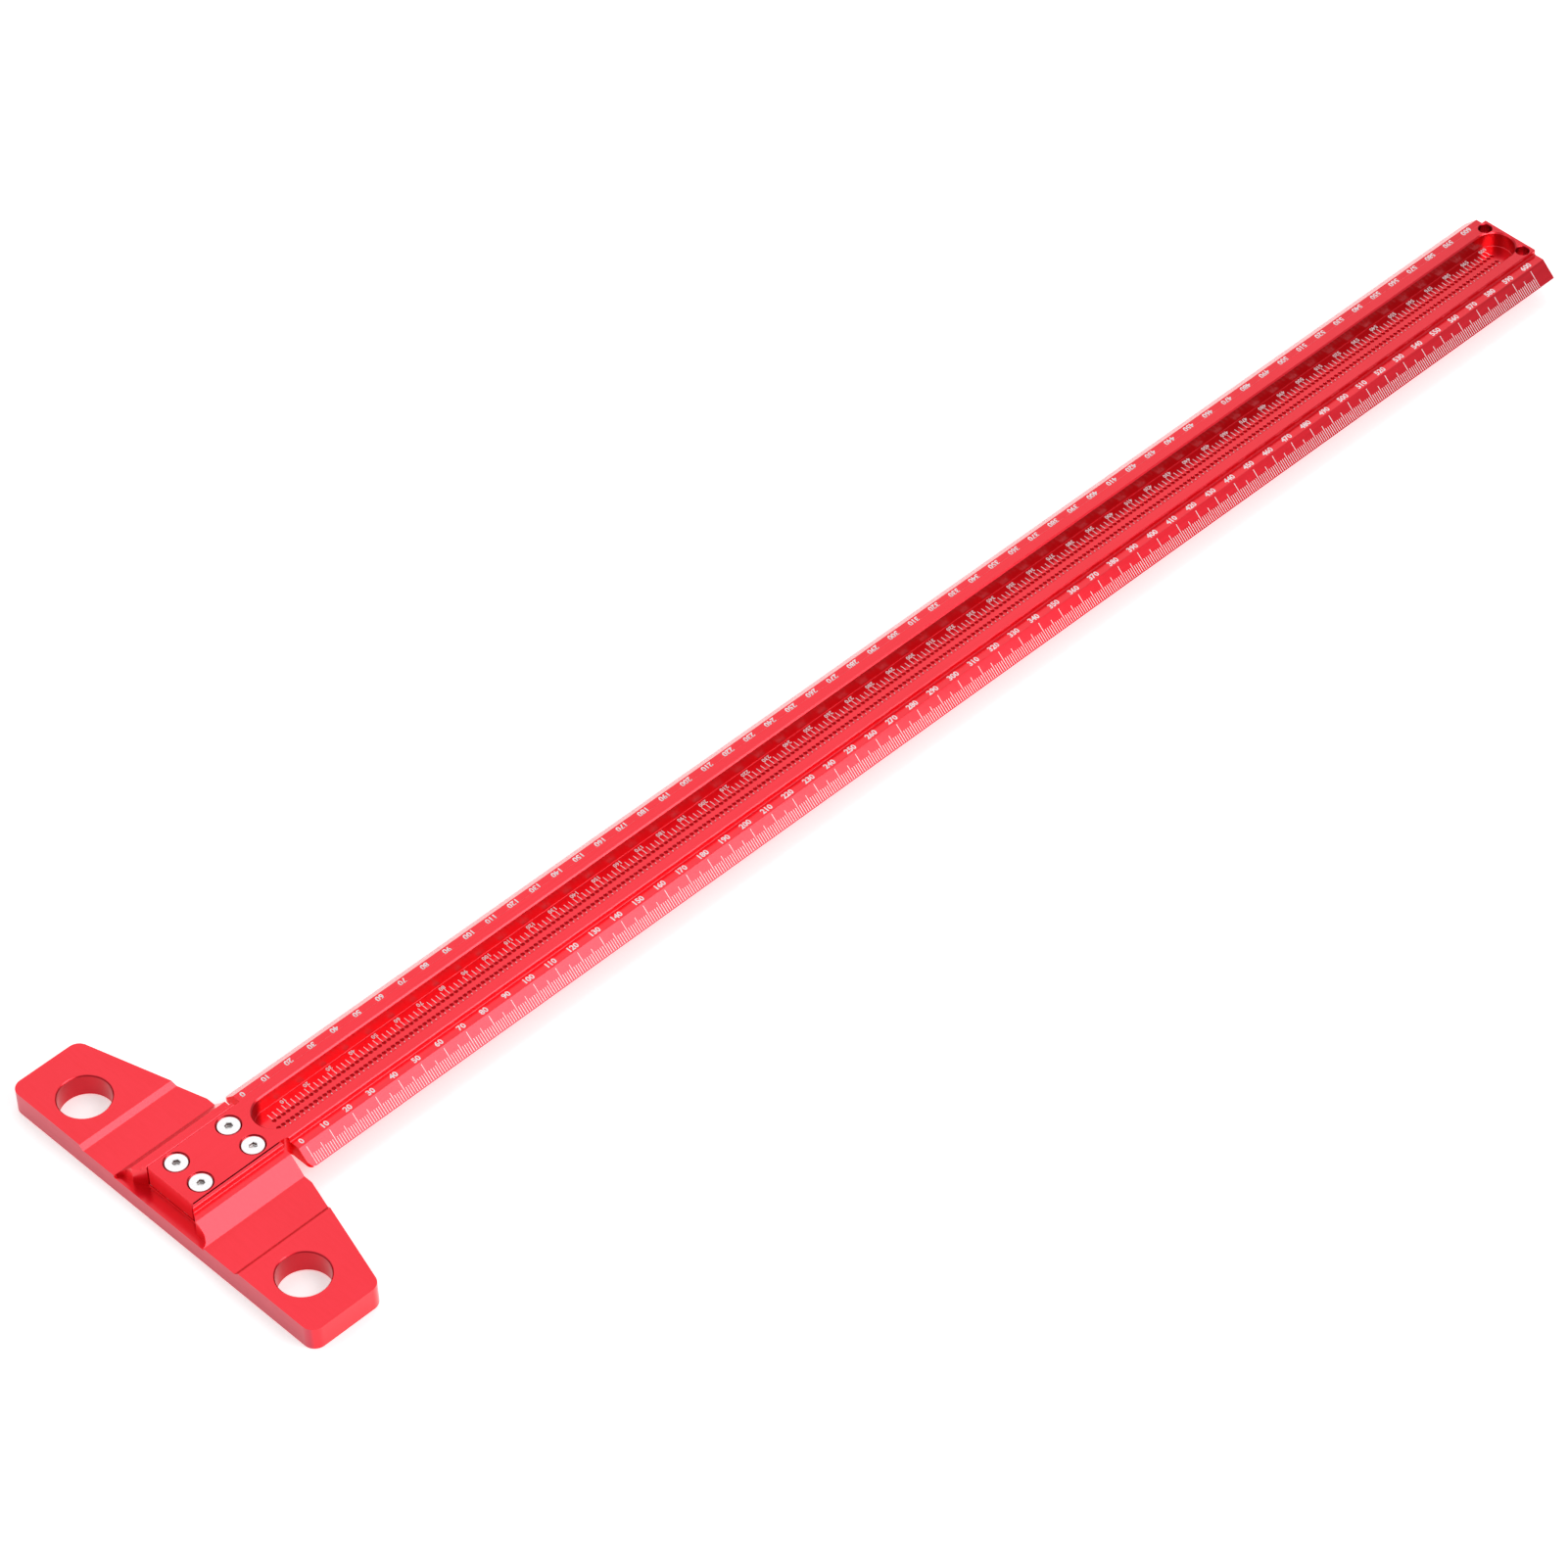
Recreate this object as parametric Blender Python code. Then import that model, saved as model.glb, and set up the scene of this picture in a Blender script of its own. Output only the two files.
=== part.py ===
"""T-square: a long graduated blade screwed into a channel in a trapezoidal head.

The blade runs along Y, X is across it and Z is up. The underside of the head is at Z = 0, and the
origin is under the middle of the whole object. Two solids, the head and the blade, are held
together by four countersunk socket screws.
"""

import math

import bmesh
import bpy
from mathutils import Vector

MM = 0.001

# Places along the blade, in mm from the zero mark of its scale
BLADE_END = 607.7
WING_START = -2.7
TONGUE_END = -43.5
NECK_FACE = -6.1
HEAD_BACK = -49.2
TAPER_END = -20.2

# Heights, in mm above the underside of the head
HEAD_END_TOP = 9.2
RECESS_TOP = 7.65
LEDGE_FLOOR = 6.7
BLADE_UNDERSIDE = 7.75
EDGE_TOP = 8.2
STRIP_TOP = 13.7
PLATEAU_TOP = 15.9
POCKET_FLOOR = 9.4

# Half widths, in mm from the middle plane
BLADE_HALF = 21.95
RIDGE_HALF = 16.35
PLATEAU_HALF = 12.25
TONGUE_HALF = 11.2
POCKET_HALF = 7.65
HEAD_HALF = 75.25
NECK_HALF = 26.0
RIM_HALF = 12.9
BOSS_FOOT = 22.3
RECESS_END = 37.5
RECESS_SLOPE_TOP = 39.4

# Corner radii and small features, in mm
BACK_CORNER = 4.5
TAPER_CORNER = 4.5
WING_CORNER = 2.3
WING_FILLET = 1.9
POCKET_START = -5.95
POCKET_END = 606.65
POCKET_CHAMFER = 0.5
STEP_FILLET = 0.6
GAP = 0.3

# Round holes, in mm
FINGER_HOLE = dict(x=54.4, y=-34.5, radius=9.3, chamfer=0.4)
END_HOLE = dict(x=9.1, y=604.2, radius=2.45, chamfer=0.3)

# Screws, in mm: an M4 countersunk screw with a hexagon socket
SCREW_X = 6.05
SCREW_Y = (-13.1, -35.4)
SCREW_HEAD_RADIUS = 3.9
SCREW_SINK = 0.25
SCREW_RIM = 0.35
SHANK_RADIUS = 1.65
SCREW_LENGTH = 13.0
SOCKET_ACROSS_FLATS = 2.5
SOCKET_DEPTH = 1.3
COUNTERSINK_RADIUS = 4.45
COUNTERSINK_RIM = 0.5
CLEARANCE_RADIUS = 2.25
THREAD_HOLE_RADIUS = 1.95
THREAD_HOLE_FLOOR = 1.6

# The ledge milled into the back of the head, under the end of the tongue
LEDGE_HALF = 22.3
LEDGE_WALL = -46.3
LEDGE_CORNER = 3.2
LEDGE_THROAT_HALF = 15.8

MIDDLE_Y = (BLADE_END + HEAD_BACK) / 2
PAST = 2.0

RED = (0.86, 0.035, 0.05, 1.0)
STEEL = (0.75, 0.75, 0.76, 1.0)


def clear_scene():
    for obj in list(bpy.data.objects):
        bpy.data.objects.remove(obj, do_unlink=True)


def material(name, colour, roughness, metallic):
    made = bpy.data.materials.new(name)
    made.use_nodes = True
    made.diffuse_color = colour
    shader = made.node_tree.nodes["Principled BSDF"]
    shader.inputs["Base Color"].default_value = colour
    shader.inputs["Roughness"].default_value = roughness
    shader.inputs["Metallic"].default_value = metallic
    return made


def arc(centre, radius, start, end, steps):
    """Points on an arc, with the angles in degrees."""
    points = []
    for i in range(steps + 1):
        angle = math.radians(start + (end - start) * i / steps)
        points.append((centre[0] + radius * math.cos(angle), centre[1] + radius * math.sin(angle)))
    return points


def prism(name, outline, low, high, axis="Z"):
    """A closed prism: the outline in mm, extruded along Z, or along Y from a section in X and Z."""
    mesh = bpy.data.meshes.new(name)
    work = bmesh.new()
    if axis == "Z":
        bottom = [work.verts.new(Vector((x, y - MIDDLE_Y, low)) * MM) for x, y in outline]
        travel = Vector((0, 0, high - low)) * MM
    else:
        bottom = [work.verts.new(Vector((x, low - MIDDLE_Y, z)) * MM) for x, z in outline]
        travel = Vector((0, high - low, 0)) * MM
    face = work.faces.new(bottom)
    made = bmesh.ops.extrude_face_region(work, geom=[face])
    moved = [item for item in made["geom"] if isinstance(item, bmesh.types.BMVert)]
    bmesh.ops.translate(work, verts=moved, vec=travel)
    bmesh.ops.recalc_face_normals(work, faces=work.faces)
    work.to_mesh(mesh)
    work.free()
    obj = bpy.data.objects.new(name, mesh)
    bpy.context.scene.collection.objects.link(obj)
    return obj


def loft(name, rings):
    """A closed solid through level rings of (x, y) points, given with their heights in mm."""
    mesh = bpy.data.meshes.new(name)
    work = bmesh.new()
    verts = []
    for points, z in rings:
        verts.append([work.verts.new(Vector((x, y - MIDDLE_Y, z)) * MM) for x, y in points])
    for lower, upper in zip(verts, verts[1:]):
        for i in range(len(lower)):
            j = (i + 1) % len(lower)
            work.faces.new((lower[i], lower[j], upper[j], upper[i]))
    work.faces.new(list(reversed(verts[0])))
    work.faces.new(verts[-1])
    bmesh.ops.recalc_face_normals(work, faces=work.faces)
    work.to_mesh(mesh)
    work.free()
    obj = bpy.data.objects.new(name, mesh)
    bpy.context.scene.collection.objects.link(obj)
    return obj


def turned(name, profile, x, y, steps=32):
    """A solid of revolution about a vertical axis, from (radius, height) points in mm."""
    last = 360 - 360 / steps
    return loft(name, [(arc((x, y), radius, 0, last, steps - 1), z) for radius, z in profile])


def boolean(obj, cutter, operation="DIFFERENCE"):
    cutter.hide_render = True
    cutter.display_type = "WIRE"
    step = obj.modifiers.new(cutter.name, "BOOLEAN")
    step.operation = operation
    step.solver = "EXACT"
    step.object = cutter


def finish(obj, look):
    obj.data.materials.append(look)
    obj.data.shade_smooth()
    obj.data.set_sharp_from_angle(angle=math.radians(30))


def step_profile(edge, top, foot):
    """The step down from a flat top to the flat below it, with a fillet at its foot."""
    fillet = arc((edge + STEP_FILLET, foot + STEP_FILLET), STEP_FILLET, 180, 270, 4)
    return [(edge, top)] + fillet


def blade_outline():
    """The blade in plan: tongue, the fillets into the wings, and the square far end."""
    wing_corner = arc(
        (BLADE_HALF - WING_CORNER, WING_START + WING_CORNER), WING_CORNER, 270, 360, 6
    )
    fillet = arc((TONGUE_HALF + WING_FILLET, WING_START - WING_FILLET), WING_FILLET, 180, 90, 6)
    right = [(TONGUE_HALF, TONGUE_END)] + fillet + wing_corner + [(BLADE_HALF, BLADE_END)]
    return right + [(-x, y) for x, y in reversed(right)]


def pocket_outline(more):
    """The pocket in plan, with half-round ends, made wider all round by the given amount."""
    half = POCKET_HALF + more
    near = arc((0, POCKET_START + POCKET_HALF), half, 180, 360, 20)
    return near + arc((0, POCKET_END - POCKET_HALF), half, 0, 180, 20)


def pocket_cutter():
    """The pocket, with a chamfer round its mouth."""
    rings = [
        (pocket_outline(0), POCKET_FLOOR),
        (pocket_outline(0), PLATEAU_TOP - POCKET_CHAMFER),
        (pocket_outline(POCKET_CHAMFER), PLATEAU_TOP),
        (pocket_outline(POCKET_CHAMFER), PLATEAU_TOP + PAST),
    ]
    return loft("cut_pocket", rings)


def make_blade(look):
    step = step_profile(PLATEAU_HALF, PLATEAU_TOP, STRIP_TOP)
    right = step + [
        (RIDGE_HALF, STRIP_TOP),
        (BLADE_HALF, EDGE_TOP),
        (BLADE_HALF, BLADE_UNDERSIDE),
    ]
    section = right + [(-x, z) for x, z in reversed(right)]
    blade = prism("blade", section, TONGUE_END - PAST, BLADE_END + PAST, axis="Y")
    outline = prism("cut_blade_plan", blade_outline(), -PAST, PLATEAU_TOP + PAST)
    boolean(blade, outline, "INTERSECT")
    boolean(blade, pocket_cutter())
    for side, sign in (("left", -1), ("right", 1)):
        hole = round_cutter("cut_end_hole_" + side, END_HOLE, sign, PLATEAU_TOP, BLADE_UNDERSIDE)
        boolean(blade, hole)
    for number, (x, y) in enumerate(screw_places(), 1):
        cone_top = PLATEAU_TOP - COUNTERSINK_RIM
        profile = [
            (CLEARANCE_RADIUS, BLADE_UNDERSIDE - PAST),
            (CLEARANCE_RADIUS, cone_top - (COUNTERSINK_RADIUS - CLEARANCE_RADIUS)),
            (COUNTERSINK_RADIUS, cone_top),
            (COUNTERSINK_RADIUS, PLATEAU_TOP + PAST),
        ]
        boolean(blade, turned(f"cut_countersink_{number}", profile, x, y))
    finish(blade, look)


def round_cutter(name, hole, sign, top, bottom):
    """A round through hole with a small chamfer on both faces."""
    wide = hole["radius"] + hole["chamfer"]
    profile = [
        (wide, bottom - PAST),
        (wide, bottom),
        (hole["radius"], bottom + hole["chamfer"]),
        (hole["radius"], top - hole["chamfer"]),
        (wide, top),
        (wide, top + PAST),
    ]
    return turned(name, profile, sign * hole["x"], hole["y"], steps=48)


def head_outline():
    """The head in plan: straight back, short square ends, and tapers up to the neck."""
    slope = math.degrees(math.atan2(TAPER_END - NECK_FACE, HEAD_HALF - NECK_HALF))
    back = arc((HEAD_HALF - BACK_CORNER, HEAD_BACK + BACK_CORNER), BACK_CORNER, 270, 360, 6)
    turn = math.radians(90 + slope)
    reach = TAPER_CORNER * math.tan(turn / 2)
    front_centre = (HEAD_HALF - TAPER_CORNER, TAPER_END - reach)
    front = arc(front_centre, TAPER_CORNER, 0, 90 + slope, 5)
    right = back + front + [(NECK_HALF, NECK_FACE)]
    return right + [(-x, y) for x, y in reversed(right)]


def ledge_outline():
    """The ledge in plan: rounded corners, and a throat that widens back to the tongue's end."""
    corner_centre = (LEDGE_HALF - LEDGE_CORNER, LEDGE_WALL - LEDGE_CORNER)
    corner = arc(corner_centre, LEDGE_CORNER, 0, 90, 6)
    right = [(LEDGE_HALF, HEAD_BACK - PAST)] + corner
    right += [(LEDGE_THROAT_HALF, LEDGE_WALL), (TONGUE_HALF + GAP, TONGUE_END)]
    return right + [(-x, y) for x, y in reversed(right)]


def make_head(look):
    channel = TONGUE_HALF + GAP
    rim_top = PLATEAU_TOP - 0.1
    right = [(channel, BLADE_UNDERSIDE - GAP), (channel, rim_top)]
    right += step_profile(RIM_HALF, rim_top, STRIP_TOP)
    right += [
        (RIDGE_HALF, STRIP_TOP),
        (BOSS_FOOT, RECESS_TOP),
        (RECESS_END, RECESS_TOP),
        (RECESS_SLOPE_TOP, HEAD_END_TOP),
        (HEAD_HALF + PAST, HEAD_END_TOP),
        (HEAD_HALF + PAST, 0),
    ]
    section = right + [(-x, z) for x, z in reversed(right)]
    head = prism("head", section, HEAD_BACK - PAST, NECK_FACE + PAST, axis="Y")
    boolean(head, prism("cut_head_plan", head_outline(), -PAST, PLATEAU_TOP + PAST), "INTERSECT")
    boolean(head, prism("cut_ledge", ledge_outline(), LEDGE_FLOOR, PLATEAU_TOP + PAST))
    for side, sign in (("left", -1), ("right", 1)):
        boolean(head, round_cutter("cut_finger_hole_" + side, FINGER_HOLE, sign, HEAD_END_TOP, 0))
    for number, (x, y) in enumerate(screw_places(), 1):
        profile = [(THREAD_HOLE_RADIUS, THREAD_HOLE_FLOOR), (THREAD_HOLE_RADIUS, RECESS_TOP + PAST)]
        boolean(head, turned(f"cut_thread_hole_{number}", profile, x, y))
    finish(head, look)


def screw_places():
    return [(side * SCREW_X, y) for y in SCREW_Y for side in (-1, 1)]


def make_screw(number, x, y, look):
    """A flat-topped countersunk screw with a blind hexagon socket."""
    top = PLATEAU_TOP - SCREW_SINK
    cone_foot = top - SCREW_RIM - (SCREW_HEAD_RADIUS - SHANK_RADIUS)
    profile = [
        (SHANK_RADIUS - 0.4, top - SCREW_LENGTH),
        (SHANK_RADIUS, top - SCREW_LENGTH + 0.4),
        (SHANK_RADIUS, cone_foot),
        (SCREW_HEAD_RADIUS, top - SCREW_RIM),
        (SCREW_HEAD_RADIUS, top - 0.15),
        (SCREW_HEAD_RADIUS - 0.15, top),
    ]
    screw = turned(f"screw_{number}", profile, x, y)
    corner = SOCKET_ACROSS_FLATS / math.sqrt(3)
    hexagon = arc((x, y), corner, 0, 300, 5)
    boolean(screw, prism(f"cut_socket_{number}", hexagon, top - SOCKET_DEPTH, top + PAST))
    finish(screw, look)


def main():
    clear_scene()
    anodised_head = material("anodised_red_head", RED, 0.38, 0.55)
    anodised_blade = material("anodised_red_blade", RED, 0.34, 0.55)
    make_head(anodised_head)
    make_blade(anodised_blade)
    for number, (x, y) in enumerate(screw_places(), 1):
        make_screw(number, x, y, material(f"plated_steel_{number}", STEEL, 0.3, 1.0))


main()
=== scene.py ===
import math

import bmesh
import bpy
import numpy as np
from mathutils import Matrix, Vector


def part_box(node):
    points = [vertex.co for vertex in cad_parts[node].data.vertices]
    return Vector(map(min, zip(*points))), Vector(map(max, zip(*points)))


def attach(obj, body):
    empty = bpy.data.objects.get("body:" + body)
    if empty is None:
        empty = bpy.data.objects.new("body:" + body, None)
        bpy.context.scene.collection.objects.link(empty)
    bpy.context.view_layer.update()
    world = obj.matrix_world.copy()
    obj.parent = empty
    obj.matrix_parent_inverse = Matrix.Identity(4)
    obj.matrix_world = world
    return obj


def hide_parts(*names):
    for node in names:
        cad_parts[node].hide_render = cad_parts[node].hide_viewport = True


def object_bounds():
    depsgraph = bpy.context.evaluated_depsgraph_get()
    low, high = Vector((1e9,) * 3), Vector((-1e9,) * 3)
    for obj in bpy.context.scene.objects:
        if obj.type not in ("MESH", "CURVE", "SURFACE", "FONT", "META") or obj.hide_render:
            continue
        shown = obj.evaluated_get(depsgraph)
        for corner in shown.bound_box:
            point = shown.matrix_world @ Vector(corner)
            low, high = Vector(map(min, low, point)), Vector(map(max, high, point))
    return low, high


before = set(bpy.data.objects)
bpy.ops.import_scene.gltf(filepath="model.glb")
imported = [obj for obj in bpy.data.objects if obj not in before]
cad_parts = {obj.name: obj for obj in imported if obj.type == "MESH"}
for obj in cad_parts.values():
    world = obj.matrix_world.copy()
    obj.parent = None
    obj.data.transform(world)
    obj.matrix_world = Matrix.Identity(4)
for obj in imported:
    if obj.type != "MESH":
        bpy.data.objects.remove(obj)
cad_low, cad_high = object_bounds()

MM = 0.001

# Driving places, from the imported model
head_low, head_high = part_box("head")
blade_low, blade_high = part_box("blade")
screw_low, screw_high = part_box("screw_1")
BLADE_PAST_SCALE = 7.7 * MM
ZERO_Y = blade_high.y - BLADE_PAST_SCALE - 600 * MM
TOP = blade_high.z / MM
BLADE_BASE = blade_low.z / MM
BLADE_HALF = blade_high.x / MM
HEAD_HALF = head_high.x / MM
HEAD_BACK = (head_low.y - ZERO_Y) / MM
NECK_FACE = (head_high.y - ZERO_Y) / MM
TONGUE_END = (blade_low.y - ZERO_Y) / MM
BLADE_END = (blade_high.y - ZERO_Y) / MM

# Blade section and plan, in mm (y from the zero mark, z from the head's underside)
STRIP_TOP = TOP - 2.2
EDGE_TOP = BLADE_BASE + 0.45
POCKET_FLOOR = 9.4
RIDGE_HALF = 16.35
PLATEAU_HALF = 12.25
TONGUE_HALF = 11.2
POCKET_HALF = 7.65
POCKET_START = -5.95
POCKET_END = BLADE_END - 1.05
POCKET_CHAMFER = 0.5
WING_START = -2.7
WING_CORNER = 2.3
WING_FILLET = 1.9
END_HOLE = dict(x=9.1, y=BLADE_END - 3.5, radius=2.45, chamfer=0.3)

PLATEAU_CHAMFER = 0.3
EDGE_BREAK = 0.12
TONGUE_CHAMFER = 0.5
POCKET_FILLET = 0.35

# Guide holes and scales, in mm
GUIDE_ROW = 1.67
GUIDE_RADIUS = 0.72
GUIDE_CHAMFER = 0.12
SCALE_LENGTH = 600
TICK_WIDTH = 0.25
TEN_TICK_START = 16.95
FIVE_TICK_START = 18.15
ONE_TICK_START = 19.2
TICK_EDGE_GAP = 0.2
POCKET_TICK_START = 2.57
POCKET_TICK_END = 5.07
POCKET_TICK_WIDTH = 0.24
EDGE_DIGITS = dict(height=2.35, pitch=1.55)
POCKET_DIGITS = dict(height=1.7, pitch=1.2)
DIGIT_STROKE = 0.03
PRINT_PROUD = 0.012
PRINT_SUNK = 0.03

# Head, in mm
HEAD_END_TOP = 9.2
RECESS_TOP = 7.65
LEDGE_FLOOR = 6.7
TAPER_END = -20.2
NECK_HALF = 26.0
RIM_HALF = 12.9
BOSS_FOOT = 22.3
RECESS_END = 37.5
RECESS_SLOPE_TOP = 39.4
BACK_CORNER = 4.5
TAPER_CORNER = 4.5
LEDGE_HALF = 22.3
LEDGE_WALL = -46.3
LEDGE_CORNER = 3.2
LEDGE_THROAT_HALF = 15.8
STEP_FILLET = 0.6
GAP = 0.3
FINGER_HOLE = dict(x=54.4, y=-34.5, radius=9.3, chamfer=0.4)

RIM_BELOW_TOP = 0.1
RIM_INNER_BREAK = 0.15
RIM_OUTER_BREAK = 0.2
HEAD_EDGE_ROUND = 0.5

# Screws, in mm
SCREW_X = 6.05
SCREW_Y = (-13.1, -35.4)
COUNTERSINK_RADIUS = 4.45
COUNTERSINK_RIM = 0.5
CLEARANCE_RADIUS = 2.25
THREAD_RADIUS = 1.95
THREAD_FLOOR = 1.6
SCREW_HEAD_RADIUS = 3.9
SCREW_RIM = 0.35
SHANK_RADIUS = 1.65
SHANK_BREAK = 0.4
SOCKET_ACROSS_FLATS = 2.5
SOCKET_DEPTH = 1.3
COUNTERSINK_BREAK = 0.08

# How far cutters reach past what they cut, in mm
PAST = 2.0


# ---------------------------------------------------------------- mesh helpers

def world_point(x, y, z):
    """A point in metres from mm, with y counted from the zero mark."""
    return Vector((x * MM, ZERO_Y + y * MM, z * MM))


def object_from(name, work):
    mesh = bpy.data.meshes.new(name)
    bmesh.ops.recalc_face_normals(work, faces=work.faces)
    work.to_mesh(mesh)
    work.free()
    obj = bpy.data.objects.new(name, mesh)
    bpy.context.scene.collection.objects.link(obj)
    return obj


def arc(centre, radius, start, end, steps):
    points = []
    for i in range(steps + 1):
        angle = math.radians(start + (end - start) * i / steps)
        points.append((centre[0] + radius * math.cos(angle), centre[1] + radius * math.sin(angle)))
    return points


def loft(name, rings):
    """A closed solid through rings of world points that all have the same count."""
    work = bmesh.new()
    verts = [[work.verts.new(point) for point in ring] for ring in rings]
    count = len(rings[0])
    for low, high in zip(verts, verts[1:]):
        for i in range(count):
            j = (i + 1) % count
            work.faces.new((low[i], low[j], high[j], high[i]))
    work.faces.new(list(reversed(verts[0])))
    work.faces.new(verts[-1])
    return object_from(name, work)


def prism(name, outline, low, high):
    return loft(name, [[world_point(x, y, z) for x, y in outline] for z in (low, high)])


def along_blade(name, section, start, end):
    return loft(name, [[world_point(x, y, z) for x, z in section] for y in (start, end)])


def turned_rings(profile, x, y, steps):
    rings = []
    for radius, z in profile:
        ring = arc((x, y), radius, 0, 360 - 360 / steps, steps - 1)
        rings.append([world_point(px, py, z) for px, py in ring])
    return rings


def turned(name, profile, x, y, steps=64):
    return loft(name, turned_rings(profile, x, y, steps))


def joined(name, parts):
    """One mesh object from several solids, which stay separate shells."""
    work = bmesh.new()
    for part in parts:
        work.from_mesh(part.data)
        bpy.data.objects.remove(part)
    return object_from(name, work)


def boolean(obj, cutter, operation="DIFFERENCE"):
    """Applies one exact Boolean and removes its cutter."""
    step = obj.modifiers.new("cut", "BOOLEAN")
    step.operation = operation
    step.solver = "EXACT"
    step.object = cutter
    graph = bpy.context.evaluated_depsgraph_get()
    made = bpy.data.meshes.new_from_object(obj.evaluated_get(graph))
    obj.modifiers.clear()
    obj.data = made
    bpy.data.objects.remove(cutter)


def mirrored_outline(right):
    return right + [(-x, y) for x, y in reversed(right)]


def round_profile(hole, top, bottom):
    wide = hole["radius"] + hole["chamfer"]
    return [
        (wide, bottom - PAST),
        (wide, bottom),
        (hole["radius"], bottom + hole["chamfer"]),
        (hole["radius"], top - hole["chamfer"]),
        (wide, top),
        (wide, top + PAST),
    ]


def smooth(obj, angle):
    """Smooth shading that keeps the wide faces flat up to their small fillets."""
    obj.data.shade_smooth()
    obj.data.set_sharp_from_angle(angle=math.radians(angle))
    weigh = obj.modifiers.new("weigh", "WEIGHTED_NORMAL")
    weigh.keep_sharp = True
    weigh.weight = 100
    graph = bpy.context.evaluated_depsgraph_get()
    made = bpy.data.meshes.new_from_object(obj.evaluated_get(graph))
    obj.modifiers.clear()
    obj.data = made


def soften_edges(obj, width, wanted):
    """Rounds the edges that wanted(edge) picks, on a mesh freed of flat triangulation."""
    work = bmesh.new()
    work.from_mesh(obj.data)
    bmesh.ops.dissolve_limit(
        work, angle_limit=math.radians(1), verts=work.verts, edges=work.edges, delimit=set()
    )
    edges = [e for e in work.edges if len(e.link_faces) == 2 and wanted(e)]
    bmesh.ops.bevel(
        work,
        geom=edges,
        offset=width * MM,
        segments=2,
        profile=0.6,
        affect="EDGES",
        clamp_overlap=True,
    )
    work.to_mesh(obj.data)
    work.free()


def screw_places():
    return [(side * SCREW_X, y) for y in SCREW_Y for side in (-1, 1)]


# ---------------------------------------------------------------- the blade

def blade_section():
    small = EDGE_BREAK
    fillet_centre = (PLATEAU_HALF + STEP_FILLET, STRIP_TOP + STEP_FILLET)
    right = [(PLATEAU_HALF - PLATEAU_CHAMFER, TOP), (PLATEAU_HALF, TOP - PLATEAU_CHAMFER)]
    right += arc(fillet_centre, STEP_FILLET, 180, 270, 8)
    right += [
        (RIDGE_HALF - small, STRIP_TOP),
        (RIDGE_HALF + small * 0.7, STRIP_TOP - small * 0.7),
        (BLADE_HALF - small * 0.6, EDGE_TOP + small * 0.6),
        (BLADE_HALF, EDGE_TOP - small * 0.6),
        (BLADE_HALF, BLADE_BASE + small),
        (BLADE_HALF - small, BLADE_BASE),
    ]
    return mirrored_outline(right)


def blade_outline():
    corner_centre = (BLADE_HALF - WING_CORNER, WING_START + WING_CORNER)
    wing_corner = arc(corner_centre, WING_CORNER, 270, 360, 12)
    fillet_centre = (TONGUE_HALF + WING_FILLET, WING_START - WING_FILLET)
    fillet = arc(fillet_centre, WING_FILLET, 180, 90, 10)
    chamfer = TONGUE_CHAMFER
    tongue = [(TONGUE_HALF - chamfer, TONGUE_END), (TONGUE_HALF, TONGUE_END + chamfer)]
    return mirrored_outline(tongue + fillet + wing_corner + [(BLADE_HALF, BLADE_END)])


def pocket_ring(half, start, end, z):
    ring = arc((0, start + half), half, 180, 360, 40) + arc((0, end - half), half, 0, 180, 40)
    return [world_point(x, y, z) for x, y in ring]


def pocket_cutter():
    steps = 6
    rings = []
    for i in range(steps + 1):
        angle = math.radians(90 * i / steps)
        inset = POCKET_FILLET * (1 - math.sin(angle))
        z = POCKET_FLOOR + POCKET_FILLET * (1 - math.cos(angle))
        rings.append((inset, z))
    rings += [(0, TOP - POCKET_CHAMFER), (-POCKET_CHAMFER, TOP), (-POCKET_CHAMFER, TOP + PAST)]
    return loft(
        "pocket",
        [pocket_ring(POCKET_HALF - i, POCKET_START + i, POCKET_END - i, z) for i, z in rings],
    )


def guide_places():
    """The two rows of guide holes, staggered by one millimetre."""
    for y in range(1, SCALE_LENGTH + 1):
        yield (-GUIDE_ROW if y % 2 == 0 else GUIDE_ROW), y


def guide_cutter():
    profile = [
        (GUIDE_RADIUS, BLADE_BASE - 1),
        (GUIDE_RADIUS, POCKET_FLOOR - GUIDE_CHAMFER),
        (GUIDE_RADIUS + GUIDE_CHAMFER, POCKET_FLOOR),
        (GUIDE_RADIUS + GUIDE_CHAMFER, POCKET_FLOOR + 1),
    ]
    steps = 12
    work = bmesh.new()
    for x, y in guide_places():
        verts = [[work.verts.new(p) for p in ring] for ring in turned_rings(profile, x, y, steps)]
        for low, high in zip(verts, verts[1:]):
            for i in range(steps):
                j = (i + 1) % steps
                work.faces.new((low[i], low[j], high[j], high[i]))
        work.faces.new(list(reversed(verts[0])))
        work.faces.new(verts[-1])
    return object_from("guides", work)


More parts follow.
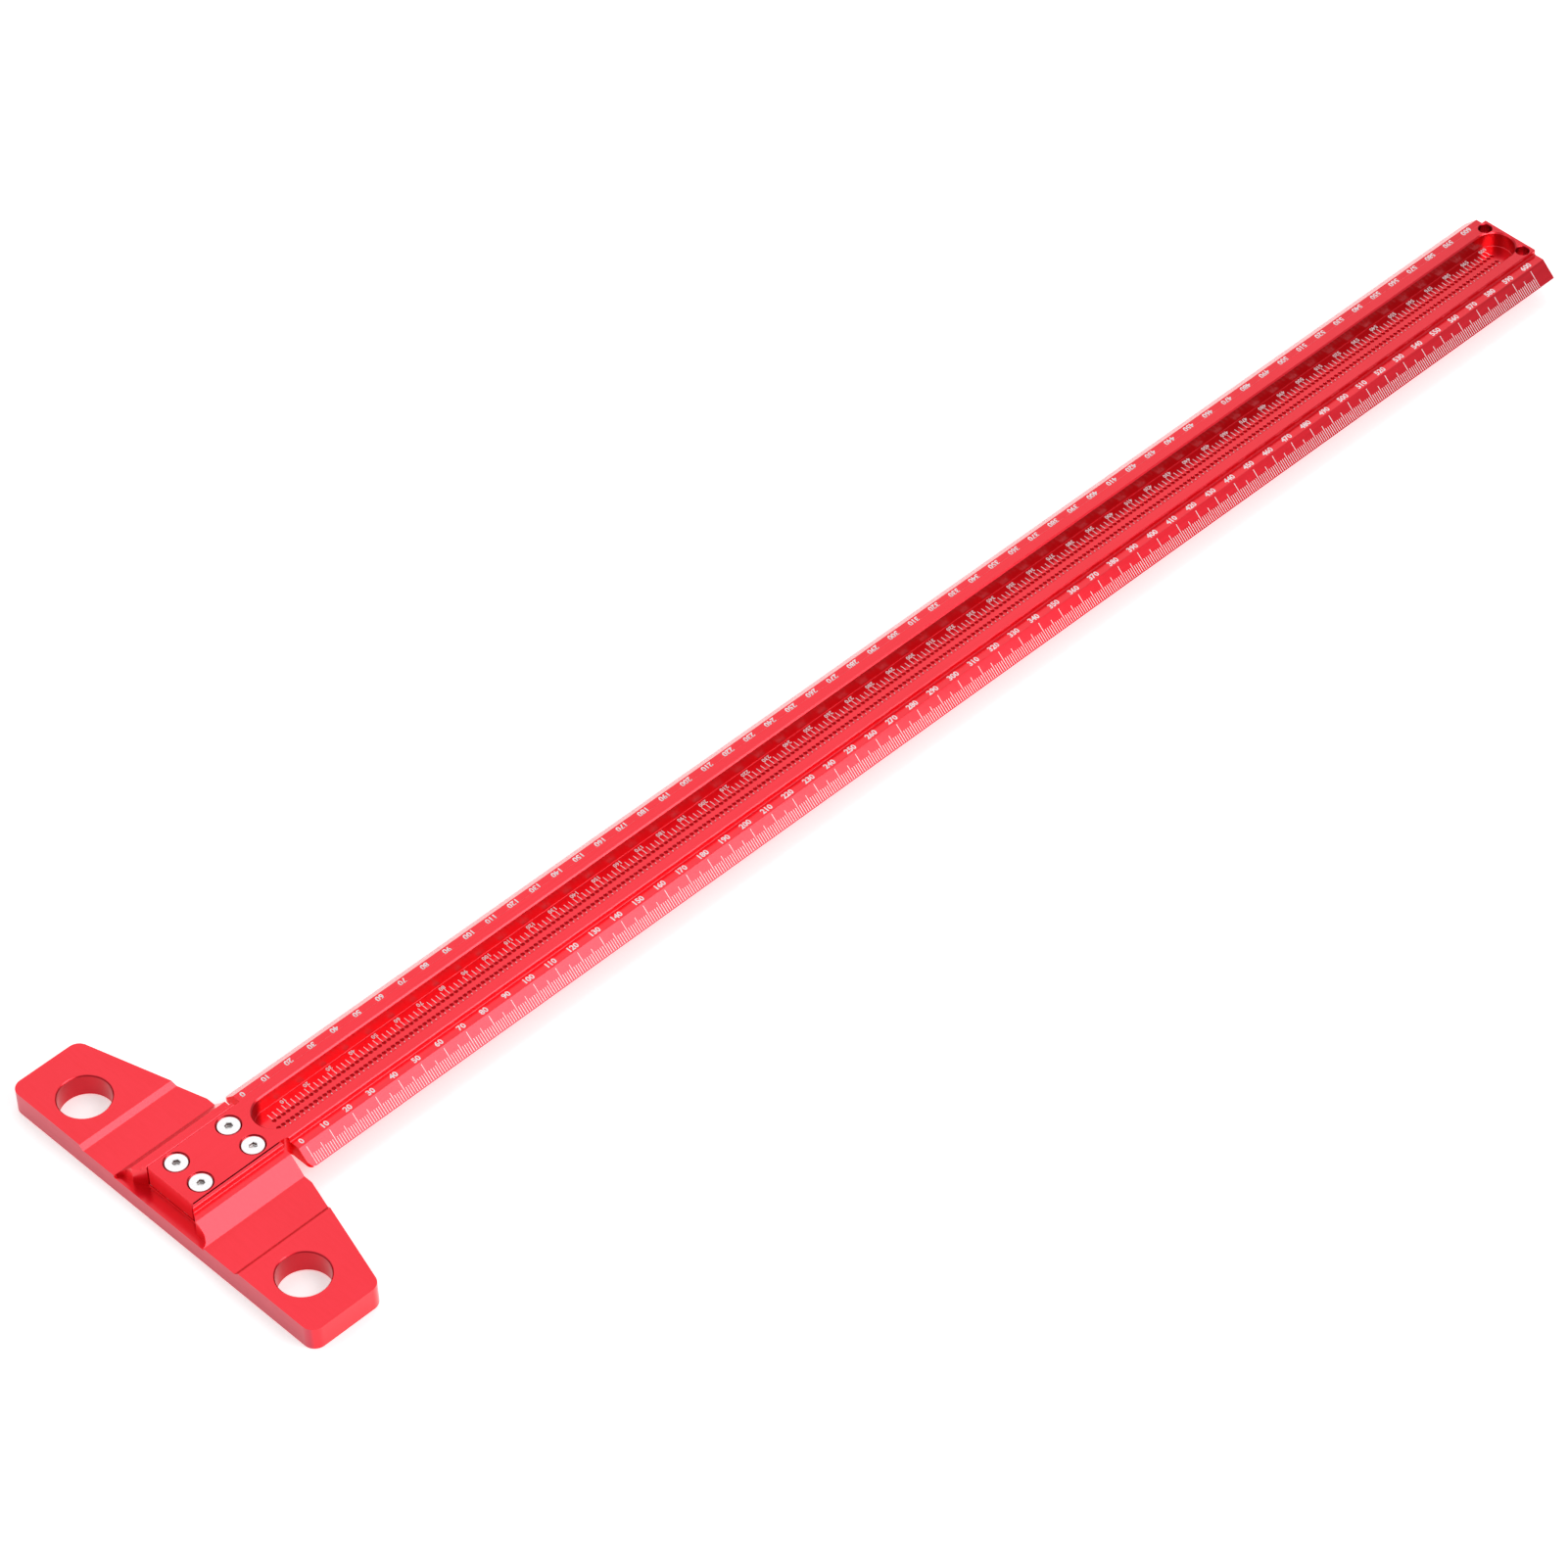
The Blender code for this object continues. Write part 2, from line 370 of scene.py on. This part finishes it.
def make_blade():
    blade = along_blade("blade_detail", blade_section(), TONGUE_END - PAST, BLADE_END + PAST)
    boolean(blade, prism("plan", blade_outline(), -PAST, TOP + PAST), "INTERSECT")
    boolean(blade, pocket_cutter())
    holes = []
    for sign in (-1, 1):
        profile = round_profile(END_HOLE, TOP, BLADE_BASE)
        holes.append(turned("end_hole", profile, sign * END_HOLE["x"], END_HOLE["y"]))
    cone_top = TOP - COUNTERSINK_RIM
    for x, y in screw_places():
        profile = [
            (CLEARANCE_RADIUS, BLADE_BASE - PAST),
            (CLEARANCE_RADIUS, cone_top - (COUNTERSINK_RADIUS - CLEARANCE_RADIUS)),
            (COUNTERSINK_RADIUS, cone_top),
            (COUNTERSINK_RADIUS, TOP - COUNTERSINK_BREAK),
            (COUNTERSINK_RADIUS + COUNTERSINK_BREAK, TOP),
            (COUNTERSINK_RADIUS + COUNTERSINK_BREAK, TOP + PAST),
        ]
        holes.append(turned("countersink", profile, x, y))
    boolean(blade, joined("holes", holes))
    boolean(blade, guide_cutter())
    smooth(blade, 25)
    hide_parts("blade")
    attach(blade, "root")
    return blade


# ---------------------------------------------------------------- the head

def head_outline():
    slope = math.degrees(math.atan2(TAPER_END - NECK_FACE, HEAD_HALF - NECK_HALF))
    back_centre = (HEAD_HALF - BACK_CORNER, HEAD_BACK + BACK_CORNER)
    back = arc(back_centre, BACK_CORNER, 270, 360, 14)
    turn = math.radians(90 + slope)
    reach = TAPER_CORNER * math.tan(turn / 2)
    front = arc((HEAD_HALF - TAPER_CORNER, TAPER_END - reach), TAPER_CORNER, 0, 90 + slope, 10)
    return mirrored_outline(back + front + [(NECK_HALF, NECK_FACE)])


def ledge_outline():
    corner = arc((LEDGE_HALF - LEDGE_CORNER, LEDGE_WALL - LEDGE_CORNER), LEDGE_CORNER, 0, 90, 12)
    right = [(LEDGE_HALF, HEAD_BACK - PAST)] + corner
    right += [(LEDGE_THROAT_HALF, LEDGE_WALL), (TONGUE_HALF + GAP, TONGUE_END)]
    return mirrored_outline(right)


def head_section():
    channel = TONGUE_HALF + GAP
    rim_top = TOP - RIM_BELOW_TOP
    fillet_centre = (RIM_HALF + STEP_FILLET, STRIP_TOP + STEP_FILLET)
    right = [
        (channel, BLADE_BASE - GAP),
        (channel, rim_top - RIM_INNER_BREAK),
        (channel + RIM_INNER_BREAK, rim_top),
        (RIM_HALF - RIM_OUTER_BREAK, rim_top),
        (RIM_HALF, rim_top - RIM_OUTER_BREAK),
    ]
    right += arc(fillet_centre, STEP_FILLET, 180, 270, 8)
    right += [
        (RIDGE_HALF, STRIP_TOP),
        (BOSS_FOOT, RECESS_TOP),
        (RECESS_END, RECESS_TOP),
        (RECESS_SLOPE_TOP, HEAD_END_TOP),
        (HEAD_HALF + PAST, HEAD_END_TOP),
        (HEAD_HALF + PAST, 0),
    ]
    return mirrored_outline(right)


def is_outer_edge(edge):
    """True on the sharp edges between level and upright faces, out beyond the ledge."""
    if edge.calc_face_angle(0) <= math.radians(24):
        return False
    middle = (edge.verts[0].co + edge.verts[1].co) / 2
    flat = [abs(face.normal.z) > 0.5 for face in edge.link_faces]
    below_boss = middle.z < (RECESS_TOP + 1.3) * MM
    return flat[0] != flat[1] and below_boss and abs(middle.x) > LEDGE_HALF * MM


def make_head():
    head = along_blade("head_detail", head_section(), HEAD_BACK - PAST, NECK_FACE + PAST)
    boolean(head, prism("plan", head_outline(), -PAST, TOP + PAST), "INTERSECT")
    boolean(head, prism("ledge", ledge_outline(), LEDGE_FLOOR, TOP + PAST))
    holes = []
    for sign in (-1, 1):
        profile = round_profile(FINGER_HOLE, HEAD_END_TOP, 0)
        holes.append(turned("finger", profile, sign * FINGER_HOLE["x"], FINGER_HOLE["y"], 96))
    for x, y in screw_places():
        profile = [(THREAD_RADIUS, THREAD_FLOOR), (THREAD_RADIUS, RECESS_TOP + PAST)]
        holes.append(turned("thread", profile, x, y, 32))
    boolean(head, joined("holes", holes))
    soften_edges(head, HEAD_EDGE_ROUND, is_outer_edge)
    smooth(head, 25)
    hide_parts("head")
    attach(head, "root")
    return head


# ---------------------------------------------------------------- the scales

def scale_box(work, middle, across, along, normal, size):
    """A thin closed tile about its middle, with its full sizes along its two directions."""
    base = middle - normal * PRINT_SUNK * MM
    rise = normal * (PRINT_SUNK + PRINT_PROUD) * MM
    a, b = across * size[0] * MM / 2, along * size[1] * MM / 2
    low = [work.verts.new(base + s * a + t * b) for s, t in ((-1, -1), (1, -1), (1, 1), (-1, 1))]
    high = [work.verts.new(v.co + rise) for v in low]
    work.faces.new(list(reversed(low)))
    work.faces.new(high)
    for i in range(4):
        j = (i + 1) % 4
        work.faces.new((low[i], low[j], high[j], high[i]))


def bevel_ticks(name, sign):
    """The millimetre marks on one bevelled edge, longer at fives and tens."""
    slope = Vector((sign * (BLADE_HALF - RIDGE_HALF), 0, EDGE_TOP - STRIP_TOP)).normalized()
    normal = Vector((-slope.z * sign, 0, abs(slope.x)))
    work = bmesh.new()
    for y in range(SCALE_LENGTH + 1):
        inner = ONE_TICK_START
        if y % 5 == 0:
            inner = FIVE_TICK_START
        if y % 10 == 0:
            inner = TEN_TICK_START
        outer = BLADE_HALF - TICK_EDGE_GAP
        middle = (inner + outer) / 2
        z = STRIP_TOP + (middle - RIDGE_HALF) * slope.z / abs(slope.x)
        length = (outer - inner) / abs(slope.x)
        place = world_point(sign * middle, y, z)
        scale_box(work, place, slope, Vector((0, 1, 0)), normal, (length, TICK_WIDTH))
    return object_from(name, work)


def pocket_ticks(name, sign, first):
    """The marks beside one row of guide holes."""
    across, along, normal = Vector((1, 0, 0)), Vector((0, 1, 0)), Vector((0, 0, 1))
    middle = (POCKET_TICK_START + POCKET_TICK_END) / 2
    size = (POCKET_TICK_END - POCKET_TICK_START, POCKET_TICK_WIDTH)
    work = bmesh.new()
    for y in range(first, SCALE_LENGTH + 1, 2):
        place = world_point(sign * middle, y, POCKET_FLOOR)
        scale_box(work, place, across, along, normal, size)
    return object_from(name, work)


def digit_meshes(height):
    """Closed raised meshes of the ten digits, centred on their middles, as (points, faces)."""
    made = {}
    for digit in "0123456789":
        curve = bpy.data.curves.new("digit", "FONT")
        curve.body = digit
        curve.size = 1.0
        curve.align_x = "CENTER"
        curve.resolution_u = 3
        curve.offset = DIGIT_STROKE
        curve.extrude = 0.5
        obj = bpy.data.objects.new("digit", curve)
        bpy.context.scene.collection.objects.link(obj)
        graph = bpy.context.evaluated_depsgraph_get()
        mesh = bpy.data.meshes.new_from_object(obj.evaluated_get(graph))
        work = bmesh.new()
        work.from_mesh(mesh)
        bmesh.ops.remove_doubles(work, verts=work.verts, dist=1e-5)
        points = np.array([v.co for v in work.verts])
        work.verts.index_update()
        faces = [[v.index for v in f.verts] for f in work.faces]
        work.free()
        bpy.data.objects.remove(obj)
        bpy.data.curves.remove(curve)
        bpy.data.meshes.remove(mesh)
        points[:, 0] -= (points[:, 0].max() + points[:, 0].min()) / 2
        points[:, 1] -= (points[:, 1].max() + points[:, 1].min()) / 2
        points[:, :2] *= height / (points[:, 1].max() * 2)
        made[digit] = (points, faces)
    return made


def numerals(name, x, z, style, turn, values, offset=0):
    """Numbers along the blade, their tops towards -X, or towards +X when turned."""
    digits = digit_meshes(style["height"])
    work = bmesh.new()
    side = -1 if turn else 1
    for value in values:
        text = str(value)
        for place, digit in enumerate(text):
            shift = (place - (len(text) - 1) / 2) * style["pitch"]
            points, faces = digits[digit]
            verts = []
            for px, py, pz in points:
                depth = PRINT_PROUD if pz > 0 else -PRINT_SUNK
                spot = world_point(x - side * py, value + offset + side * (px + shift), z + depth)
                verts.append(work.verts.new(spot))
            for face in faces:
                work.faces.new([verts[i] for i in face])
    return object_from(name, work)


def make_scales(paint):
    tens = range(0, SCALE_LENGTH + 1, 10)
    pieces = [
        bevel_ticks("edge_marks_right", 1),
        bevel_ticks("edge_marks_left", -1),
        pocket_ticks("pocket_marks_even", -1, 2),
        pocket_ticks("pocket_marks_odd", 1, 1),
        numerals("edge_numbers_right", 14.49, STRIP_TOP, EDGE_DIGITS, False, tens),
        numerals("edge_numbers_left", -14.6, STRIP_TOP, EDGE_DIGITS, True, tens),
        numerals("pocket_numbers", -6.08, POCKET_FLOOR, POCKET_DIGITS, True, tens[1:], -0.3),
    ]
    for piece in pieces:
        piece.data.materials.append(paint)
        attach(piece, "root")


# ---------------------------------------------------------------- the screws

def make_screw(number, x, y, look):
    top = screw_high.z / MM
    foot = screw_low.z / MM
    radius = SCREW_HEAD_RADIUS
    shank = SHANK_RADIUS
    profile = [
        (shank - SHANK_BREAK, foot),
        (shank, foot + SHANK_BREAK),
        (shank, top - SCREW_RIM - (radius - shank)),
        (radius, top - SCREW_RIM),
        (radius, top - 0.2),
        (radius - 0.06, top - 0.06),
        (radius - 0.2, top),
    ]
    screw = turned(f"screw_{number}_detail", profile, x, y, 72)
    corner = SOCKET_ACROSS_FLATS / math.sqrt(3)
    turn = 10 + 37 * number
    rings = []
    for half, z in (
        (corner - 0.2, top - SOCKET_DEPTH),
        (corner, top - SOCKET_DEPTH + 0.1),
        (corner, top - 0.12),
        (corner + 0.12, top),
        (corner + 0.12, top + PAST),
    ):
        hexagon = arc((x, y), half, turn, turn + 300, 5)
        rings.append([world_point(px, py, z) for px, py in hexagon])
    boolean(screw, loft("socket", rings))
    smooth(screw, 25)
    screw.data.materials.clear()
    screw.data.materials.append(look)
    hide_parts(f"screw_{number}")
    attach(screw, "root")


# ---------------------------------------------------------------- materials

def node_material(name):
    made = bpy.data.materials.new(name)
    made.use_nodes = True
    tree = made.node_tree
    return made, tree, tree.nodes["Principled BSDF"]


def add(tree, kind, **values):
    node = tree.nodes.new(kind)
    for key, value in values.items():
        setattr(node, key, value)
    return node


def noise(tree, source, scale, detail):
    made = add(tree, "ShaderNodeTexNoise")
    made.inputs["Scale"].default_value = scale
    made.inputs["Detail"].default_value = detail
    tree.links.new(source, made.inputs["Vector"])
    return made.outputs["Fac"]


def spread(tree, source, low, high, out_low, out_high):
    made = add(tree, "ShaderNodeMapRange")
    made.inputs["From Min"].default_value = low
    made.inputs["From Max"].default_value = high
    made.inputs["To Min"].default_value = out_low
    made.inputs["To Max"].default_value = out_high
    tree.links.new(source, made.inputs["Value"])
    return made.outputs["Result"]


def product(tree, first, second):
    made = add(tree, "ShaderNodeMath", operation="MULTIPLY")
    for socket, value in zip(made.inputs, (first, second)):
        if isinstance(value, (int, float)):
            socket.default_value = value
        else:
            tree.links.new(value, socket)
    return made.outputs[0]


def mixed_colour(tree, factor, first, second):
    made = add(tree, "ShaderNodeMix", data_type="RGBA")
    tree.links.new(factor, made.inputs["Factor"])
    for socket, value in ((made.inputs[6], first), (made.inputs[7], second)):
        if isinstance(value, tuple):
            socket.default_value = value
        else:
            tree.links.new(value, socket)
    return made.outputs[2]


def axes_of(tree, vector):
    made = add(tree, "ShaderNodeSeparateXYZ")
    tree.links.new(vector, made.inputs[0])
    return made


def axis_size(tree, separate, axis):
    made = add(tree, "ShaderNodeMath", operation="ABSOLUTE")
    tree.links.new(separate.outputs[axis], made.inputs[0])
    return made.outputs[0]


def upright_faces(tree):
    """1 on faces that stand upright, 0 on those that slope or lie level."""
    geometry = add(tree, "ShaderNodeNewGeometry")
    normal = axes_of(tree, geometry.outputs["True Normal"])
    return spread(tree, axis_size(tree, normal, "Z"), 0.35, 0.1, 0, 1)


def between(tree, place, start, end):
    """1 from start to end along the blade, in mm from the zero mark, and 0 beyond them."""
    low, high = (world_point(0, y, 0).y for y in (start, end))
    after = spread(tree, place.outputs["Y"], low, low + 0.0001, 0, 1)
    before = spread(tree, place.outputs["Y"], high, high + 0.0001, 1, 0)
    return product(tree, after, before)


def blade_edges(tree, coords):
    """1 on the two thin outer edges of the blade, where a pale pink highlight is painted on."""
    place = axes_of(tree, coords)
    edge = (BLADE_HALF - 0.4) * MM
    outer = spread(tree, axis_size(tree, place, "X"), edge, edge + 0.0002, 0, 1)
    return product(tree, upright_faces(tree), outer)


def head_back(tree, coords):
    """1 on the long back face of the head, which is painted a darker, greyer red as shade."""
    place = axes_of(tree, coords)
    back = ZERO_Y + HEAD_BACK * MM
    behind = spread(tree, place.outputs["Y"], back + 0.0016, back + 0.0006, 0, 1)
    return product(tree, upright_faces(tree), behind)


def near_hole(tree, coords, hole):
    """1 within the two round holes that mirror each other, and on their walls."""
    place = axes_of(tree, coords)
    flat = add(tree, "ShaderNodeCombineXYZ")
    tree.links.new(axis_size(tree, place, "X"), flat.inputs["X"])
    tree.links.new(place.outputs["Y"], flat.inputs["Y"])
    away = add(tree, "ShaderNodeVectorMath", operation="DISTANCE")
    tree.links.new(flat.outputs[0], away.inputs[0])
    away.inputs[1].default_value = world_point(hole["x"], hole["y"], 0)
    reach = (hole["radius"] + 0.15) * MM
    return spread(tree, away.outputs["Value"], reach, reach + 0.0001, 1, 0)


def hole_walls(tree, coords):
    """1 on the walls of the finger holes, which are painted darker as shade."""
    return near_hole(tree, coords, FINGER_HOLE)


def end_hole_walls(tree, coords):
    """1 on the walls of the two small holes at the blade's end, which are painted dark as shade.
    """
    return near_hole(tree, coords, END_HOLE)


def pocket_walls(tree, coords):
    """1 on the upright walls of the scribing pocket, which are painted darker as shade."""
    place = axes_of(tree, coords)
    floor = POCKET_FLOOR * MM
    reach = (POCKET_HALF + 0.1) * MM
    high = spread(tree, place.outputs["Z"], floor + 0.00005, floor + 0.0003, 0, 1)
    near = spread(tree, axis_size(tree, place, "X"), reach, reach + 0.0001, 1, 0)
    inside = between(tree, place, POCKET_START - 0.3, POCKET_END + 0.5)
    walls = product(tree, upright_faces(tree), product(tree, high, near))
    return product(tree, inside, walls)


def guide_walls(tree, coords):
    """1 below the pocket's floor, on the walls of the guide holes, which are painted dark as
    shade.
    """
    place = axes_of(tree, coords)
    floor = POCKET_FLOOR * MM
    reach = (GUIDE_ROW + GUIDE_RADIUS + 0.3) * MM
    low = spread(tree, place.outputs["Z"], floor - 0.00012, floor - 0.00005, 1, 0)
    near = spread(tree, axis_size(tree, place, "X"), reach, reach + 0.0001, 1, 0)
    inside = between(tree, place, 0, SCALE_LENGTH + 2)
    walls = product(tree, upright_faces(tree), product(tree, low, near))
    return product(tree, inside, walls)


def tongue_burr(tree, coords):
    """Broken bright marks along the foot of the tongue's end."""
    place = axes_of(tree, coords)
    end = ZERO_Y + TONGUE_END * MM
    foot = (BLADE_BASE + 0.3) * MM
    marks = spread(tree, noise(tree, coords, 420, 2), 0.5, 0.6, 0, 1)
    low = spread(tree, place.outputs["Z"], foot, foot + 0.0002, 1, 0)
    near = spread(tree, place.outputs["Y"], end, end + 0.0001, 1, 0)
    return product(tree, marks, product(tree, low, near))


def anodised(name, stretch, patches):
    """Red anodised aluminium under a clear seal.

    Each patch is a mask by position, the colour it turns the metal to and how much of the seal
    it keeps. All but the tongue's flecks are painted light: a painted highlight on the blade's
    thin edges and painted shade on the hole and pocket walls and on the head's back face.
    """
    made, tree, shader = node_material(name)
    link = tree.links.new
    coords = add(tree, "ShaderNodeTexCoord").outputs["Object"]
    mapping = add(tree, "ShaderNodeMapping")
    mapping.inputs["Scale"].default_value = stretch
    link(coords, mapping.inputs["Vector"])
    streaks = noise(tree, mapping.outputs["Vector"], 700, 4)
    grain = noise(tree, coords, 2600, 2)
    cloud = noise(tree, coords, 22, 3)

    tone = add(tree, "ShaderNodeMath", operation="MULTIPLY_ADD")
    tone.inputs[1].default_value = 0.5
    link(streaks, tone.inputs[0])
    link(product(tree, cloud, 0.5), tone.inputs[2])
    ramp = add(tree, "ShaderNodeValToRGB")
    ramp.color_ramp.elements[0].position = 0.35
    ramp.color_ramp.elements[0].color = (0.87, 0.007, 0.023, 1)
    ramp.color_ramp.elements[1].position = 0.65
    ramp.color_ramp.elements[1].color = (0.93, 0.011, 0.032, 1)
    link(tone.outputs[0], ramp.inputs["Fac"])
    colour = ramp.outputs["Color"]
    seal = None
    for find, look, weight in patches:
        mask = find(tree, coords)
        colour = mixed_colour(tree, mask, colour, look)
        part = spread(tree, mask, 0, 1, 1, weight)
        seal = part if seal is None else product(tree, seal, part)
    link(colour, shader.inputs["Base Color"])
    link(product(tree, seal, 0.65), shader.inputs["Coat Weight"])
    link(spread(tree, streaks, 0.3, 0.7, 0.31, 0.38), shader.inputs["Roughness"])

    relief = add(tree, "ShaderNodeMath", operation="MULTIPLY_ADD")
    relief.inputs[1].default_value = 0.5
    link(streaks, relief.inputs[0])
    link(grain, relief.inputs[2])
    bump = add(tree, "ShaderNodeBump")
    bump.inputs["Strength"].default_value = 0.06
    bump.inputs["Distance"].default_value = 0.00006
    link(relief.outputs[0], bump.inputs["Height"])
    link(bump.outputs["Normal"], shader.inputs["Normal"])
    link(bump.outputs["Normal"], shader.inputs["Coat Normal"])
    shader.inputs["Metallic"].default_value = 1.0
    shader.inputs["Coat IOR"].default_value = 1.6
    shader.inputs["Coat Roughness"].default_value = 0.17
    return made


def white_paint():
    """White filling of the graduations, slightly worn and stained by the red."""
    made, tree, shader = node_material("scale_white")
    coords = add(tree, "ShaderNodeTexCoord").outputs["Object"]
    wear = spread(tree, noise(tree, coords, 900, 3), 0.35, 0.6, 0, 1)
    look = mixed_colour(tree, wear, (0.88, 0.74, 0.78, 1), (0.96, 0.93, 0.95, 1))
    tree.links.new(look, shader.inputs["Base Color"])
    rough = spread(tree, wear, 0, 1, 0.6, 0.5)
    tree.links.new(rough, shader.inputs["Roughness"])
    return made


def plated_steel():
    """Bright plated steel, with painted shade on the upright faces down in the socket and round
    the head's rim.
    """
    made, tree, shader = node_material("bright_steel")
    link = tree.links.new
    coords = add(tree, "ShaderNodeTexCoord").outputs["Object"]
    mottle = noise(tree, coords, 1600, 3)
    place = axes_of(tree, coords)
    # painted shade: upright faces low on the head, in the socket and on the rim, turn dark brown
    socket_shade = spread(tree, place.outputs["Z"], screw_high.z - 0.0004, screw_high.z - 0.00012, 1, 0)
    socket_shade = product(tree, socket_shade, upright_faces(tree))
    mottled = spread(tree, mottle, 0.3, 0.6, 0, 1)
    bright = mixed_colour(tree, mottled, (0.88, 0.87, 0.88, 1), (0.97, 0.96, 0.97, 1))
    link(mixed_colour(tree, socket_shade, bright, (0.20, 0.13, 0.12, 1)), shader.inputs["Base Color"])
    link(spread(tree, mottle, 0.3, 0.7, 0.28, 0.42), shader.inputs["Roughness"])
    bump = add(tree, "ShaderNodeBump")
    bump.inputs["Strength"].default_value = 0.1
    bump.inputs["Distance"].default_value = 0.00005
    link(mottle, bump.inputs["Height"])
    link(bump.outputs["Normal"], shader.inputs["Normal"])
    shader.inputs["Metallic"].default_value = 1.0
    return made


# ---------------------------------------------------------------- stage

def make_camera():
    data = bpy.data.cameras.new("camera")
    camera = bpy.data.objects.new("camera", data)
    bpy.context.scene.collection.objects.link(camera)
    data.sensor_width = 36
    data.lens = 147.5
    data.clip_end = 20
    right = Vector((0.69770, 0.71578, -0.02944)).normalized()
    ahead = Vector((-0.51931, 0.47703, -0.70906)).normalized()
    up = right.cross(ahead)
    turn = Matrix((right, up, -ahead)).transposed().to_4x4()
    camera.matrix_world = Matrix.Translation(world_point(1146.7, -821.4, 1549.5 + TOP)) @ turn
    bpy.context.scene.camera = camera


def panel(name, centre, size, height, turn, radiance):
    """A level softbox over the object, facing down, set by the radiance of its face."""
    data = bpy.data.lights.new(name, "AREA")
    data.shape = "RECTANGLE"
    data.size, data.size_y = size[0] * MM, size[1] * MM
    data.energy = radiance * math.pi * data.size * data.size_y
    lamp = bpy.data.objects.new(name, data)
    lamp.location = world_point(*centre, height)
    lamp.rotation_euler = (0, 0, math.radians(turn))
    bpy.context.scene.collection.objects.link(lamp)


def make_stage():
    work = bmesh.new()
    half = 6.0
    floor_z = cad_low.z - 0.0002
    corners = [(-half, -half), (half, -half), (half, half), (-half, half)]
    work.faces.new([work.verts.new((x, y, floor_z)) for x, y in corners])
    floor = object_from("floor", work)
    made, _, shader = node_material("pale_floor")
    shader.inputs["Base Color"].default_value = (0.93, 0.93, 0.93, 1)
    shader.inputs["Roughness"].default_value = 0.9
    shader.inputs["Emission Color"].default_value = (1, 1, 1, 1)
    shader.inputs["Emission Strength"].default_value = 0.45
    floor.data.materials.append(made)
    world = bpy.data.worlds.new("studio")
    world.use_nodes = True
    world.node_tree.nodes["Background"].inputs["Color"].default_value = (1, 1, 1, 1)
    world.node_tree.nodes["Background"].inputs["Strength"].default_value = 0.42
    bpy.context.scene.world = world
    bpy.context.scene.view_settings.view_transform = "Standard"
    panel("key", (1133, 537), (1410, 700), 900, 48.8, 3.9)
    panel("fill", (-700, 400), (1200, 2200), 900, 0, 0.73)


def main():
    make_camera()
    make_stage()
    blade_patches = [
        # painted highlight: the blade's thin outer edges turn pale pink
        (blade_edges, (0.78, 0.58, 0.64, 1), 1.0),
        (tongue_burr, (0.95, 0.75, 0.76, 1), 1.0),
        # painted shade: the guide holes' walls turn dark red, without seal
        (guide_walls, (0.50, 0.003, 0.010, 1), 0),
        # painted shade: the end holes' walls turn dark red, without seal
        (end_hole_walls, (0.42, 0.005, 0.018, 1), 0),
        # painted shade: the pocket's upright walls turn a darker red
        (pocket_walls, (0.63, 0.005, 0.018, 1), 0.9),
    ]
    head_patches = [
        # painted shade: the head's back face turns a darker, greyer red with less seal
        (head_back, (0.60, 0.045, 0.075, 1), 0.45),
        # painted shade: the finger holes' walls turn a darker red
        (hole_walls, (0.62, 0.010, 0.022, 1), 0.375),
    ]
    red_blade = anodised("red_blade", (1, 0.02, 1), blade_patches)
    red_head = anodised("red_head", (0.2, 1, 1), head_patches)
    blade = make_blade()
    blade.data.materials.clear()
    blade.data.materials.append(red_blade)
    head = make_head()
    head.data.materials.clear()
    head.data.materials.append(red_head)
    make_scales(white_paint())
    steel = plated_steel()
    for number, (x, y) in enumerate(screw_places(), 1):
        make_screw(number, x, y, steel)


main()
